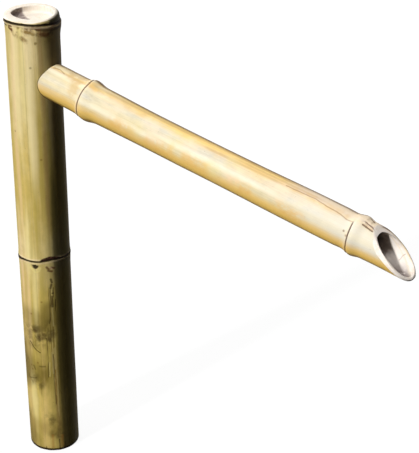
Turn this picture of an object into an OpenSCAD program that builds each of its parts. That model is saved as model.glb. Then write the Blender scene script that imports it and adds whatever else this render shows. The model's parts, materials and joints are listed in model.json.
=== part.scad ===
// Bamboo water spout: an upright culm with a thinner culm pushed into its side, and the hose inside both

/* [Post] */
// Height of the post from its cut base to its cut top
post_h = 655; // [600:5:720]
// Outer radius of the post between its nodes
post_r = 34.8; // [34.2:0.2:37]
// Thickness of the post's wall
post_wall = 6.4; // [6:0.2:7]
// Height of the ring line of the middle node
mid_node_z = 310; // [220:5:400]
// Swelling of the middle node
mid_swell = 0.7; // [0.2:0.1:2]
// Swelling of the top node
top_swell = 2; // [1:0.25:3]
// Depth of the top node's ring line under the cut top
top_ring_drop = 5; // [4:0.5:7]
// Depth of the shallow cup that the top node's wall closes
cup_depth = 7; // [6:0.5:12]
// Thickness of the node walls inside the post
post_node_wall = 5; // [3:0.5:8]
// Radius of the recess that is bored true in the base
base_bore_r = 29; // [28.75:0.25:30]
// Depth of the recess in the base
base_bore_l = 30; // [20:1:32]

/* [Spout] */
// Height of the post's top above the spout's axis, measured on the post's axis
spout_drop = 80.6; // [70:1:110]
// Angle at which the spout slopes down
spout_slope = 9.6; // [4:0.2:12]
// Outer radius of the spout in the post and beside its nodes
spout_r = 23.3; // [22.8:0.1:23.6]
// How much thinner the spout is halfway between its nodes
spout_waist = 1.3; // [0.4:0.1:2.5]
// Thickness of the spout's wall
spout_wall = 5; // [4.5:0.25:5.5]
// Distance from the post's axis to the first node, along the spout
node_1_s = 92; // [80:1:110]
// Distance from the post's axis to the second node, along the spout
node_2_s = 493; // [400:1:500]
// Distance from the post's axis to the tip of the mouth, along the spout
tip_s = 577.8; // [575:1:620]
// Outer radius of the spout at the mouth
mouth_r = 22.2; // [21.5:0.1:23]
// Angle between the mouth's cut and the spout's axis
mouth_angle = 36.6; // [34:0.5:50]
// Swelling of the spout's nodes
spout_swell = 2.8; // [1:0.2:3.6]
// Thickness of the node walls inside the spout
spout_node_wall = 4; // [3:0.5:6]
// Radius of the larger branch stub
branch_r = 4.6; // [3:0.2:5.4]

/* [Seat of the spout] */
// Radial clearance between the spout and the hole in the post
socket_gap = 0.08; // [0.04:0.01:0.1]
// How far the hole is bored into the flanks of the back wall
seat_bite = 5.5; // [3:0.5:6]
// Gap between the spout's tail and the end of its seat
seat_gap = 0.3; // [0.2:0.1:0.5]
// Half width of the slot in the tail that straddles the hose elbow
slot_r = 12.5; // [12:0.25:13]
// Width of the rubber ring round the tail
ring_w = 5; // [3:0.5:6]
// Thickness of the rubber ring
ring_t = 1.5; // [1:0.25:2]

/* [Hose] */
// Outer radius of the hose
hose_r = 6.5; // [6:0.25:7]
// Inner radius of the hose
hose_bore_r = 5; // [4:0.25:5.25]
// Wall of the plastic fittings
fitting_wall = 1.4; // [1:0.1:1.6]
// Length of each barbed tail
barb_l = 22; // [16:1:26]
// Radius of the joiner's spigot, which takes the pump's hose
inlet_r = 6.4; // [6:0.1:8]
// Length of the joiner's spigot
inlet_l = 25; // [18:1:30]
// Height of the spigot's end above the base
inlet_z = 36; // [34:1:50]
// Width of the hose clips
clip_w = 7; // [5:0.5:8]
// Thickness of the clips' steel band
clip_t = 0.8; // [0.5:0.1:1]

/* [Hidden] */
$fn = 96;

straw = [0.80, 0.70, 0.42];
pale_straw = [0.90, 0.80, 0.56];
black_rubber = [0.06, 0.06, 0.06];
black_plastic = [0.10, 0.10, 0.11];
clear_vinyl = [0.82, 0.87, 0.88];
bare_steel = [0.72, 0.73, 0.74];

// Clearance of pieces that are pushed together by hand
push_gap = 0.05;
// Clearance of the spout's node walls round the hose
hose_gap = 0.3;
// How far a fine cut runs past the face that it opens
past = 1;

post_in_r = post_r - post_wall;
spout_h = post_h - spout_drop;
spout_in_r = spout_r - spout_wall;
mouth_in_r = mouth_r - spout_wall + 0.4;
socket_r = spout_r + socket_gap;

// Bamboo left between the tail's slot and the ring's groove
slot_land = 1.5;
// Where the socket's sides meet the inside of the post's wall
side_in_x = sqrt(pow(post_in_r, 2) - pow(socket_r, 2));
seat_s = -(side_in_x + seat_bite) / cos(spout_slope);
tail_s = seat_s + seat_gap;
ring_s = (side_in_x + past) / cos(spout_slope);
slot_s = ring_s - slot_land - slot_r;
ring_in_r = spout_r - ring_t;

// The elbow's collars stand clear of the spout's tail
elbow_r = hose_bore_r + 0.5;
elbow_drop = spout_r / cos(spout_slope) + 3;
elbow_reach = 12;
collar_t = 3;
riser_top_z = spout_h - elbow_drop - collar_t;
riser_base_z = inlet_z + inlet_l + collar_t;
spout_hose_s = elbow_reach + collar_t;
spout_hose_end_s = node_2_s + spout_node_wall / 2 + 3;
clip_inset = 5;

grommet_r = hose_r + 3;
grommet_lip = 2.5;
grommet_lip_t = 2;

// Radius of the rounded corners where a node wall meets the culm
inner_round = 4;
cup_round = 5;
// Radius of the worn edge round the cut top, which stands a little proud of the culm
rim_round = 1.6;
rim_lip = 0.4;
// Small bevel of the other cut edges
edge_round = 0.8;
// A ring line's depth and half its width
line_depth = 0.7;
line_half = 0.8;

function bump(t) = exp(-t * t);
// Swelling at height s of a node whose crest is at c: it rises over length a and falls over length b
function swell(s, c, height, a, b) = height * bump((s - c) / (s < c ? a : b));
// Points of a quarter round, from angle a0 to a1
function quarter(r_c, s_c, r, a0, a1) = [for (i = [0 : 4])
    let (a = a0 + (a1 - a0) * i / 4) [r_c + r * cos(a), s_c + r * sin(a)]];
// The V of a ring line cut into a surface of radius r at s
function ring_line(r, s) = [[r, s - line_half], [r - line_depth, s], [r, s + line_half]];

mid_crest_z = mid_node_z - 4;
top_ring_z = post_h - top_ring_drop;
top_crest_z = top_ring_z - 5;
function post_radius(z) = post_r
    + swell(z, mid_crest_z, mid_swell, 7, 7)
    + swell(z, top_crest_z, top_swell, 9, 8);

crest_1_s = node_1_s + 4;
crest_2_s = node_2_s + 6;
// Length over which the spout thins beyond its second node
mouth_taper_l = 20;
function between(s) = max(0, min(1, (s - node_1_s) / (node_2_s - node_1_s)));
function body_radius(s) = s > node_2_s
    ? spout_r + (mouth_r - spout_r) * min(1, (s - node_2_s) / mouth_taper_l)
    : spout_r - spout_waist * pow(sin(180 * between(s)), 2);
function spout_radius(s) = body_radius(s)
    + swell(s, crest_1_s, spout_swell, 6, 9)
    + swell(s, crest_2_s, spout_swell, 7, 8);

// Places beside a node's ring line at which the outline takes a point
below_line = [-22, -16, -12, -9, -7, -5, -3];
above_line = [2.5, 5, 8, 11, 15, 20, 26];

module post_outline() {
    polygon(concat(
        [[base_bore_r, 0], [post_r - edge_round, 0], [post_r, edge_round]],
        [for (d = below_line) [post_radius(mid_node_z + d), mid_node_z + d]],
        ring_line(post_radius(mid_node_z), mid_node_z),
        [for (d = above_line) [post_radius(mid_node_z + d), mid_node_z + d]],
        [for (d = [-32, -26, each below_line]) [post_radius(top_ring_z + d), top_ring_z + d]],
        ring_line(post_radius(top_ring_z), top_ring_z),
        quarter(post_r + rim_lip - rim_round, post_h - rim_round, rim_round, 0, 90),
        [[post_in_r + edge_round, post_h], [post_in_r, post_h - edge_round]],
        quarter(post_in_r - cup_round, post_h - cup_depth + cup_round, cup_round, 0, -90),
        [[0, post_h - cup_depth], [0, post_h - cup_depth - post_node_wall]],
        quarter(post_in_r - inner_round, post_h - cup_depth - post_node_wall - inner_round, inner_round, 90, 0),
        quarter(post_in_r - inner_round, mid_node_z + post_node_wall / 2 + inner_round, inner_round, 0, -90),
        [[grommet_r, mid_node_z + post_node_wall / 2], [grommet_r, mid_node_z - post_node_wall / 2]],
        quarter(post_in_r - inner_round, mid_node_z - post_node_wall / 2 - inner_round, inner_round, 90, 0),
        [[post_in_r, base_bore_l], [base_bore_r, base_bore_l]]
    ));
}

// One node wall of the spout, seen from the mouth towards the tail
function spout_node_inside(s, r_front, r_back) = concat(
    quarter(r_front - inner_round, s + spout_node_wall / 2 + inner_round, inner_round, 0, -90),
    [[hose_r + hose_gap, s + spout_node_wall / 2], [hose_r + hose_gap, s - spout_node_wall / 2]],
    quarter(r_back - inner_round, s - spout_node_wall / 2 - inner_round, inner_round, 90, 0));

module spout_outline() {
    long_steps = [for (i = [2 : 10]) node_1_s + (node_2_s - node_1_s) * i / 12];
    polygon(concat(
        [[spout_in_r, tail_s], [spout_r - edge_round, tail_s], [spout_r, tail_s + edge_round]],
        [[spout_r, ring_s], [ring_in_r, ring_s], [ring_in_r, ring_s + ring_w], [spout_r, ring_s + ring_w]],
        [for (d = below_line) [spout_radius(node_1_s + d), node_1_s + d]],
        ring_line(spout_radius(node_1_s), node_1_s),
        [for (d = above_line) [spout_radius(node_1_s + d), node_1_s + d]],
        [for (s = long_steps) [spout_radius(s), s]],
        [for (d = below_line) [spout_radius(node_2_s + d), node_2_s + d]],
        ring_line(spout_radius(node_2_s), node_2_s),
        [for (d = above_line) [spout_radius(node_2_s + d), node_2_s + d]],
        [[mouth_r, tip_s + past], [mouth_in_r, tip_s + past]],
        spout_node_inside(node_2_s, mouth_in_r, spout_in_r),
        spout_node_inside(node_1_s, spout_in_r, spout_in_r)
    ));
}

// Places its children in the spout's own frame: z along the spout, x down, y across
module along_spout() {
    translate([0, 0, spout_h]) rotate([0, 90 + spout_slope, 0]) children();
}

// A trimmed branch stub that leans towards the mouth, turned by angle from the spout's top
module branch_stub(angle, s, r) {
    stub_root = 3;
    stub_lean = 62;
    stub_l = 8;
    rotate([0, 0, 180 + angle]) translate([mouth_r - stub_root, 0, s - stub_root])
        rotate([0, stub_lean, 0]) cylinder(r = r, h = stub_l);
}

// What the oblique cut takes away
module mouth_cut() {
    reach = 4 * mouth_r;
    translate([mouth_r, 0, tip_s]) rotate([0, mouth_angle - 90, 0])
        translate([-reach, -reach / 2, 0]) cube([2 * reach, reach, reach]);
}

// The slot in the tail, open at its end, that lets the spout slide over the elbow
module tail_slot() {
    translate([0, 0, slot_s]) rotate([0, 90, 0]) cylinder(r = slot_r, h = spout_r + past);
    translate([0, -slot_r, tail_s - past]) cube([spout_r + past, 2 * slot_r, slot_s - tail_s + past]);
}

module post_culm() {
    color(straw) difference() {
        rotate_extrude() post_outline();
        along_spout() translate([0, 0, seat_s]) cylinder(r = socket_r, h = 2 * post_r - seat_s);
    }
}

module spout_culm() {
    color(pale_straw) along_spout() difference() {
        union() {
            rotate_extrude() spout_outline();
            branch_stub(4, crest_2_s + 4, branch_r);
            branch_stub(20, crest_2_s + 6, branch_r - 1.4);
        }
        mouth_cut();
        tail_slot();
    }
}

module socket_ring() {
    color(black_rubber) along_spout() translate([0, 0, ring_s + hose_gap]) difference() {
        cylinder(r = spout_r + socket_gap - push_gap, h = ring_w - 2 * hose_gap);
        translate([0, 0, -past]) cylinder(r = ring_in_r + push_gap, h = ring_w + 2 * past);
    }
}

// A barbed tail along +z, pushed into a hose whose end lies at z = 0, and rooted in what stands below
module barbed_tail() {
    crest_r = hose_bore_r - push_gap;
    root_r = crest_r - 0.5;
    step = barb_l / 3;
    rotate_extrude() polygon(concat(
        [[0, -past], [root_r, -past]],
        [for (i = [0 : 2]) each [[crest_r, i * step], [root_r, (i + 1) * step]]],
        [[0, barb_l]]
    ));
}

// A leg of the elbow along +z: a plain tube, a collar and the barbed tail
module elbow_leg(reach) {
    cylinder(r = elbow_r, h = reach);
    translate([0, 0, reach]) cylinder(r = hose_r, h = collar_t);
    translate([0, 0, reach + collar_t]) barbed_tail();
}

module elbow_bore(reach) {
    cylinder(r = hose_bore_r - fitting_wall, h = reach + collar_t + barb_l + past);
}

module hose_elbow() {
    color(black_plastic) difference() {
        union() {
            translate([0, 0, spout_h]) sphere(r = elbow_r);
            translate([0, 0, spout_h]) rotate([180, 0, 0]) elbow_leg(elbow_drop);
            along_spout() elbow_leg(elbow_reach);
        }
        translate([0, 0, spout_h]) sphere(r = hose_bore_r - fitting_wall);
        translate([0, 0, spout_h]) rotate([180, 0, 0]) elbow_bore(elbow_drop);
        along_spout() elbow_bore(elbow_reach);
    }
}

module hose(length) {
    difference() {
        cylinder(r = hose_r, h = length);
        translate([0, 0, -past]) cylinder(r = hose_bore_r, h = length + 2 * past);
    }
}

module riser_hose() {
    color(clear_vinyl) translate([0, 0, riser_base_z]) hose(riser_top_z - riser_base_z);
}

module spout_hose() {
    color(clear_vinyl) along_spout() translate([0, 0, spout_hose_s]) hose(spout_hose_end_s - spout_hose_s);
}

// A spring band clip round a hose that runs along z, with two ears to squeeze
module hose_clip() {
    band_r = hose_r + push_gap;
    ear_l = 4;
    color(bare_steel) difference() {
        union() {
            cylinder(r = band_r + clip_t, h = clip_w);
            for (turn = [-22, 22]) rotate([0, 0, turn])
                translate([band_r, -clip_t, 0]) cube([ear_l, 2 * clip_t, clip_w]);
        }
        translate([0, 0, -past]) cylinder(r = band_r, h = clip_w + 2 * past);
        translate([0, -clip_t, -past]) cube([band_r + ear_l + past, 2 * clip_t, clip_w + 2 * past]);
    }
}

module riser_clip() {
    translate([0, 0, riser_top_z - clip_inset - clip_w]) rotate([0, 0, 180]) hose_clip();
}

module spout_clip() {
    along_spout() translate([0, 0, spout_hose_s + clip_inset]) rotate([0, 0, 180]) hose_clip();
}

module inlet_clip() {
    translate([0, 0, riser_base_z + clip_inset]) rotate([0, 0, 180]) hose_clip();
}

module node_grommet() {
    height = post_node_wall + 2 * (grommet_lip_t + push_gap);
    color(black_rubber) translate([0, 0, mid_node_z - height / 2]) difference() {
        union() {
            cylinder(r = grommet_r + grommet_lip, h = grommet_lip_t);
            cylinder(r = grommet_r - push_gap, h = height);
            translate([0, 0, height - grommet_lip_t]) cylinder(r = grommet_r + grommet_lip, h = grommet_lip_t);
        }
        translate([0, 0, -past]) cylinder(r = hose_r + push_gap, h = height + 2 * past);
    }
}

module inlet_joiner() {
    lead_in = 1;
    joiner_lip = 2.3;
    color(black_plastic) translate([0, 0, inlet_z]) difference() {
        union() {
            cylinder(r1 = inlet_r - lead_in, r2 = inlet_r, h = lead_in);
            translate([0, 0, lead_in]) cylinder(r = inlet_r, h = inlet_l - lead_in);
            translate([0, 0, inlet_l]) cylinder(r = max(inlet_r, hose_r) + joiner_lip, h = collar_t);
            translate([0, 0, inlet_l + collar_t]) barbed_tail();
        }
        translate([0, 0, -past]) cylinder(r = hose_bore_r - fitting_wall, h = inlet_l + collar_t + barb_l + 2 * past);
    }
}

post_culm();
spout_culm();
socket_ring();
hose_elbow();
riser_hose();
spout_hose();
riser_clip();
spout_clip();
node_grommet();
inlet_joiner();
inlet_clip();
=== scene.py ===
"""Looks of the bamboo water spout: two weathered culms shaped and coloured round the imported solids.

Culms are modelled in millimetres in a frame of their own, with Z along the culm, and end up in metres.
"""
import json
import math

import bmesh
import bpy
import numpy as np
from mathutils import Matrix, Vector


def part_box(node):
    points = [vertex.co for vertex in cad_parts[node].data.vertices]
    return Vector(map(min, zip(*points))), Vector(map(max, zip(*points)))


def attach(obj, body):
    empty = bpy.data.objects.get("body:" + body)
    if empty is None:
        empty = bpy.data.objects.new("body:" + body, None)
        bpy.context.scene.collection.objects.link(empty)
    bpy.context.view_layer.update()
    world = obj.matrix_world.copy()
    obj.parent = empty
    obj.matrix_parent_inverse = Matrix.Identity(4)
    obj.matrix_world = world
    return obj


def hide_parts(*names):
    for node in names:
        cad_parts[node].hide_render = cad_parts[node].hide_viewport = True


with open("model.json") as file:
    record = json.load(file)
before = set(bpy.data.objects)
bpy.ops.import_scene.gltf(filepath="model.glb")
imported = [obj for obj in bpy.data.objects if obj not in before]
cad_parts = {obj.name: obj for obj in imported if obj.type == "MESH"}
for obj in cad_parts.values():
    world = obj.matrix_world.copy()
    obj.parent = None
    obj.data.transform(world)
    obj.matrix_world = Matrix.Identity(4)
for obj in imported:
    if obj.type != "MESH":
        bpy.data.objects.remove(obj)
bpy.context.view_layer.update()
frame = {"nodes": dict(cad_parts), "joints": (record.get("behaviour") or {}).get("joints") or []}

MM = 0.001
SEGMENTS = 240
SHARP_ANGLE = math.radians(38)

# The post, in millimetres
POST_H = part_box("post_culm")[1].z / MM
POST_R = 34.5
POST_IN_R = 28.4
BASE_BORE_R = 29
BASE_BORE_L = 30
MID_WALL_Z = 310
MID_WALL = 5
GROMMET_HOLE_R = 9.5
CUP_DEPTH = 9
CUP_FLOOR_Z = POST_H - CUP_DEPTH
# How the cup's floor rises to its middle, as (radius, rise)
CUP_FLOOR = [(0, 0.5), (5, 0.45), (10, 0.3), (15, 0.1), (19, 0)]
CUP_ROUND = 3
TOP_WALL = 5
TOP_CREST = 641
MID_CREST = 306
INNER_ROUND = 4

# The spout, in millimetres along its own axis from the post's axis
TWIST = next(joint for joint in frame["joints"] if joint["name"] == "spout_twist")
SPOUT_AXIS = Vector(TWIST["axis"]).normalized()
SPOUT_FOOT = Vector(TWIST["pos_m"])
SPOUT_R = 23.3
SPOUT_WAIST = 1.3
SPOUT_IN_R = 18.3
SOCKET_R = 23.38
SEAT_S = -21.93
TAIL_S = -21.63
SLOT_S = 3.36
SLOT_R = 12.5
RING_S = 17.36
RING_W = 5
RING_IN_R = 21.8
NODE_1_S = 92
NODE_2_S = 493
NODE_1_CREST = 96
NODE_2_CREST = 499.5
SPOUT_WALL = 4
HOSE_HOLE_R = 6.8
TIP_S = 581
MOUTH_R = 22.2
MOUTH_IN_R = 17.6
MOUTH_ANGLE = math.radians(35.4)
# How far the knife left the middle of the cut rounded outwards
MOUTH_BULGE = 1.2
MOUTH_TURN = -0.03
# Where the rings of the spout begin to lean towards the oblique cut
LEAN_S = 503

# The cup's wall, which was worked thick towards the front: degrees round the post from +X, and radius
CUP_WALL = [(-147, 25.5), (-119, 22), (-99, 20.4), (-67, 20.4), (-50, 22), (-22, 27.4), (-8, 28.5),
            (71, 28.4), (113, 26), (150, 25)]
# Direction, from the post's axis, of the part of the cup that has painted shadow: the rim's shadow on its
# floor and wall
CUP_SHADE = (-0.535, -0.845)

# Ring lines of the nodes: degrees round the post from +X, and height
TOP_LINE = [(-144, 649.3), (-100, 652.6), (-70, 653), (-48, 652), (-30, 651.2), (-8, 649.3), (15, 647.2),
            (60, 645.5), (120, 645.5), (180, 647)]
MID_LINE = [(-126, 307.3), (-100, 309.9), (-78, 310.3), (-59, 311), (-44, 312.3), (-29, 313.2),
            (-4, 311.3), (40, 309), (100, 310.5), (160, 308)]
# Lower edge of the bare wood that the hand-worked rim shows
RIM_EDGE = [(-144, 650.6), (-100, 653.6), (-70, 654), (-48, 653.6), (-30, 654.2), (-8, 654.5), (15, 654.6),
            (60, 654.2), (120, 652.5), (180, 650)]
# Ring lines of the spout: degrees from its top towards the front, and place along it
NODE_1_LINE = [(-60, 88.2), (-36, 88.5), (-10, 91.6), (16, 93.2), (40, 92.6), (106, 92.2), (121, 91.8),
               (180, 90.5), (-120, 89.5)]
NODE_2_LINE = [(-40, 494.5), (0, 494), (28, 493.4), (43, 494.2), (76, 495.2), (95, 495.7), (115, 495.5),
               (180, 496.5), (-110, 496)]


def screen_color(color):
    """A colour of three numbers from 0 to 255, as a screen shows it, made ready for a shader's socket."""
    def linear(value):
        value /= 255
        return value / 12.92 if value <= 0.04045 else ((value + 0.055) / 1.055) ** 2.4
    return (*map(linear, color), 1)


# Outlines and turned forms

def stations(start, *stretches):
    """Places from start on; each stretch is given by its end and its step."""
    places = [start]
    for end, step in stretches:
        first = places[-1]
        count = max(1, round(abs(end - first) / step))
        places += [first + (end - first) * (i + 1) / count for i in range(count)]
    return places


def arc(radius, height, size, start, end, steps=4):
    """Points of a round corner about (radius, height), from angle start to end in degrees."""
    angles = [math.radians(start + (end - start) * i / steps) for i in range(steps + 1)]
    return [(radius + size * math.cos(a), height + size * math.sin(a)) for a in angles]


def node_wall(place, thick, hole_r, below_r, above_r, steps=4):
    """Outline of a node's wall and its hose hole, from the hollow below it to the hollow above it."""
    low = place - thick / 2
    high = place + thick / 2
    return (arc(below_r - INNER_ROUND, low - INNER_ROUND, INNER_ROUND, 0, 90, steps)
            + [(hole_r, low), (hole_r, high)]
            + arc(above_r - INNER_ROUND, high + INNER_ROUND, INNER_ROUND, -90, 0, steps))


def turned(name, outline, closed):
    """Spins an outline of (radius, height) points about Z. Points on the axis become poles."""
    bm = bmesh.new()
    points = [bm.verts.new((radius, 0, height)) for radius, height in outline]
    edges = [bm.edges.new(pair) for pair in zip(points, points[1:])]
    if closed:
        edges.append(bm.edges.new((points[-1], points[0])))
    bmesh.ops.spin(bm, geom=points + edges, cent=(0, 0, 0), axis=(0, 0, 1), angle=math.tau,
                   steps=SEGMENTS, use_merge=True, use_duplicate=False)
    bmesh.ops.remove_doubles(bm, verts=bm.verts, dist=0.0005)
    bmesh.ops.recalc_face_normals(bm, faces=bm.faces)
    return as_object(name, bm)


def put_in_scene(thing):
    bpy.context.scene.collection.objects.link(thing)
    return thing


def as_object(name, bm):
    mesh = bpy.data.meshes.new(name)
    bm.to_mesh(mesh)
    bm.free()
    return put_in_scene(bpy.data.objects.new(name, mesh))


def cut_away(piece, cutter):
    """Cuts one closed form out of another and drops the cutter."""
    modifier = piece.modifiers.new("cut", "BOOLEAN")
    modifier.operation = "DIFFERENCE"
    modifier.solver = "MANIFOLD"
    modifier.object = cutter
    depsgraph = bpy.context.evaluated_depsgraph_get()
    mesh = bpy.data.meshes.new_from_object(piece.evaluated_get(depsgraph))
    piece.modifiers.clear()
    uncut = piece.data
    piece.data = mesh
    bpy.data.meshes.remove(uncut)
    bpy.data.objects.remove(cutter)


def culm_points(mesh):
    """A mesh's points, and each one's distance from the culm's axis, degrees round it and place along it."""
    flat = np.empty(len(mesh.vertices) * 3)
    mesh.vertices.foreach_get("co", flat)
    points = flat.reshape(-1, 3)
    radius = np.hypot(points[:, 0], points[:, 1])
    angle = np.degrees(np.arctan2(points[:, 1], points[:, 0]))
    return points, radius, angle, points[:, 2].copy()


def move_points(mesh, points):
    mesh.vertices.foreach_set("co", points.ravel())
    mesh.update()


def paint(mesh, **masks):
    """Keeps values from 0 to 1 for every point, for the material to read."""
    for name, values in masks.items():
        layer = mesh.attributes.new(name, "FLOAT", "POINT")
        layer.data.foreach_set("value", np.clip(values, 0, 1))


def wear(mesh, material):
    mesh.materials.clear()
    mesh.materials.append(material)


def finish_form(piece, place):
    """Puts a form modelled in millimetres in its place and smooths all but its sharp edges."""
    piece.data.transform(place @ Matrix.Scale(MM, 4))
    piece.data.shade_smooth()
    piece.data.set_sharp_from_angle(angle=SHARP_ANGLE)
    piece.data.update()


# Shapes of the skins, on whole arrays of points

def bump(distance, width):
    return np.exp(-(distance / width) ** 2)


def step(value, start, end):
    """0 before start, 1 after end, smooth between."""
    t = np.clip((value - start) / (end - start), 0, 1)
    return t * t * (3 - 2 * t)


def span(value, start, full, waning, end):
    """Rises from 0 at start to 1 at full, and falls from 1 at waning to 0 at end."""
    return step(value, start, full) * (1 - step(value, waning, end))


def cosine(degrees):
    return np.cos(np.radians(degrees))


def along(line, angle):
    """Place of a ring line at each angle, in degrees."""
    return np.interp(angle, *zip(*line), period=360)


def at(curve, place):
    """Value of a curve of (place, value) points at each place."""
    return np.interp(place, *zip(*curve))


def band_line(distance, half):
    """1 within half of a line's middle, with a crisp border."""
    return 1 - step(abs(distance), half - 0.4, half + 0.4)


def swell(place, crest, rise, fall):
    return bump(place - crest, np.where(place < crest, rise, fall))


def turn_gap(angle, centre):
    """Degrees from centre to angle, the short way round."""
    return (angle - centre + 180) % 360 - 180


def aside(angle, centre, radius):
    """Millimetres round a culm from centre to angle."""
    return np.radians(turn_gap(angle, centre)) * radius


def to_chain(x, y, chain):
    """Distance from each point to a chain of straight stretches."""
    nearest = np.full(np.shape(x), 1e9)
    for (ax, ay), (bx, by) in zip(chain, chain[1:]):
        length_2 = (bx - ax) ** 2 + (by - ay) ** 2
        t = np.clip(((x - ax) * (bx - ax) + (y - ay) * (by - ay)) / length_2, 0, 1)
        nearest = np.minimum(nearest, np.hypot(x - ax - t * (bx - ax), y - ay - t * (by - ay)))
    return nearest


def flat_chain(chain, radius):
    """A chain of (degrees, place) points unrolled to millimetres."""
    return [(math.radians(a) * radius, place) for a, place in chain]


def grooves(angle, place, chains, radius, width):
    """How deep the grooves along all the chains are: 1 in their middle lines."""
    around = np.radians(angle) * radius
    return sum(bump(to_chain(around, place, flat_chain(chain, radius)), width) for chain in chains)


# Drying cracks that run down the post, as (degrees, height) points
POST_CRACKS = [
    [(-38.8, 267), (-39.3, 245), (-40.5, 224), (-44, 214)],
    [(-31.6, 269.6), (-32.1, 255)],
    [(-28, 251), (-28.2, 232)],
    [(-52.5, 190), (-51, 152), (-53.4, 126)],
    [(-39.7, 163), (-39.2, 139), (-39.8, 115), (-39, 78)],
    [(-28.3, 102.6), (-23.6, 95)],
    [(96, 470), (97, 420), (94.5, 372)],
    [(152, 224), (150.5, 170), (153, 96)],
    [(163, 150), (164, 84)],
]
# The side of the post that the photograph shows at its right, in degrees
RIGHT_SIDE = 36
# How far the post leans to its right side, and how much its girth adds to its radius, by height
POST_LEAN = [(0, 0.9), (50, 0.75), (150, 0.5), (300, 0.55), (540, 0.65), (615, 1.05), (POST_H, 1)]
POST_GIRTH = [(0, -0.15), (40, 0), (100, 0.28), (560, 0.25), (604, 0.5), (632, 0.2)]
# Middles of the dried root eyes under the middle node, and their size
POST_EYE = (-69.5, 303)
POST_BACK_EYE = (112, 302)
EYE_TOP = 3
EYE_HEIGHT = 6.8
EYE_HALF = 5
# Upper edge of the torn sheath above the middle node's line, as (degrees, height) points
CHIP_TOP = [(-58, 312.8), (-53.7, 315.3), (-47, 316.7), (-37, 318.6), (-24, 317), (-5, 312.5), (6, 311.5)]


def torn_sheath(angle, z, start, full, top_start, top_end):
    """1 between the middle node's line and the sheath's torn upper edge."""
    below = step(z - along(MID_LINE, angle), start, full)
    return below * (1 - step(z - along(CHIP_TOP, angle), top_start, top_end)) * span(angle, -59, -57, -2, 6)


def in_eye(angle, z, eye):
    """1 in a root eye, which is wide above and runs to a point below."""
    down = np.clip((eye[1] + EYE_TOP - z) / EYE_HEIGHT, 0, 1)
    half = EYE_HALF * (1 - down) ** 0.4 * step(down, 0, 0.08)
    return step(half - abs(aside(angle, eye[0], POST_R)), -0.5, 0.3)


def post_skin(angle, z):
    """Radius of the post's skin at an angle in degrees and a height, with the slight lean of its axis."""
    right = cosine(angle - RIGHT_SIDE)
    left = (1 - right) / 2
    wave = 0.13 * np.cos(np.radians(2 * angle) + z / 95) + 0.09 * np.cos(np.radians(5 * angle) - z / 140)
    radius = POST_R + at(POST_GIRTH, z) + at(POST_LEAN, z) * right + wave * step(z, 0, 20)

    past = z - along(MID_LINE, angle)
    radius += 0.5 * swell(z, MID_CREST, 8, 7) - 1.1 * bump(past, 0.8)
    radius += 0.45 * bump(past + 2, 0.9) + 0.2 * bump(past - 1.8, 1.2)
    radius -= 0.55 * torn_sheath(angle, z, 0, 0.6, -0.8, 0.4)
    for eye in (POST_EYE, POST_BACK_EYE):
        off = np.hypot(aside(angle, eye[0], POST_R), (z - eye[1]) * 1.1)
        radius += 0.3 * bump(off - 5.4, 1.6) - 1.6 * in_eye(angle, z, eye)

    past = z - along(TOP_LINE, angle)
    radius += (2.4 - 1.95 * left) * swell(z, TOP_CREST, 11, 7.5)
    radius += (0.35 + 1.1 * left) * bump(past + 2.6, 1.5) - 1.5 * bump(past, 1.1)
    radius += (0.1 + 1.3 * left) * step(past, 0.6, 1.6)
    return radius - 0.28 * grooves(angle, z, POST_CRACKS, POST_R, 0.75)


def post_outline():
    """From the cup's floor over the rim, down the skin and up the hollow to the top wall's underside."""
    wall_z = CUP_FLOOR_Z - TOP_WALL
    skin_z = stations(651.4, (632, 0.55), (323, 6), (296, 0.55), (12, 6), (0.9, 0.9))
    return (
        [(radius, CUP_FLOOR_Z + rise) for radius, rise in CUP_FLOOR]
        + arc(POST_IN_R - CUP_ROUND, CUP_FLOOR_Z + CUP_ROUND, CUP_ROUND, -90, 0, 6)
        + [(POST_IN_R, POST_H - 1.3)] + arc(POST_IN_R + 1, POST_H - 1, 1, 180, 90, 3)
        + [(30.4, POST_H), (31.4, POST_H - 0.05)]
        + arc(POST_R - 2.6, POST_H - 2.7, 2.6, 75, 10, 5)
        + [(POST_R, z) for z in skin_z]
        + [(POST_R - 0.25, 0.3), (POST_R - 0.8, 0), (32, 0), (BASE_BORE_R + 0.5, 0), (BASE_BORE_R, 0.5)]
        + [(BASE_BORE_R, BASE_BORE_L), (POST_IN_R, BASE_BORE_L + 0.4)]
        + [(POST_IN_R, z) for z in stations(80, (290, 70))]
        + node_wall(MID_WALL_Z, MID_WALL, GROMMET_HOLE_R, POST_IN_R, POST_IN_R)
        + [(POST_IN_R, z) for z in stations(330, (630, 15))]
        + arc(POST_IN_R - INNER_ROUND, wall_z - INNER_ROUND, INNER_ROUND, 0, 90)
        + [(0, wall_z)]
    )


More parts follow.
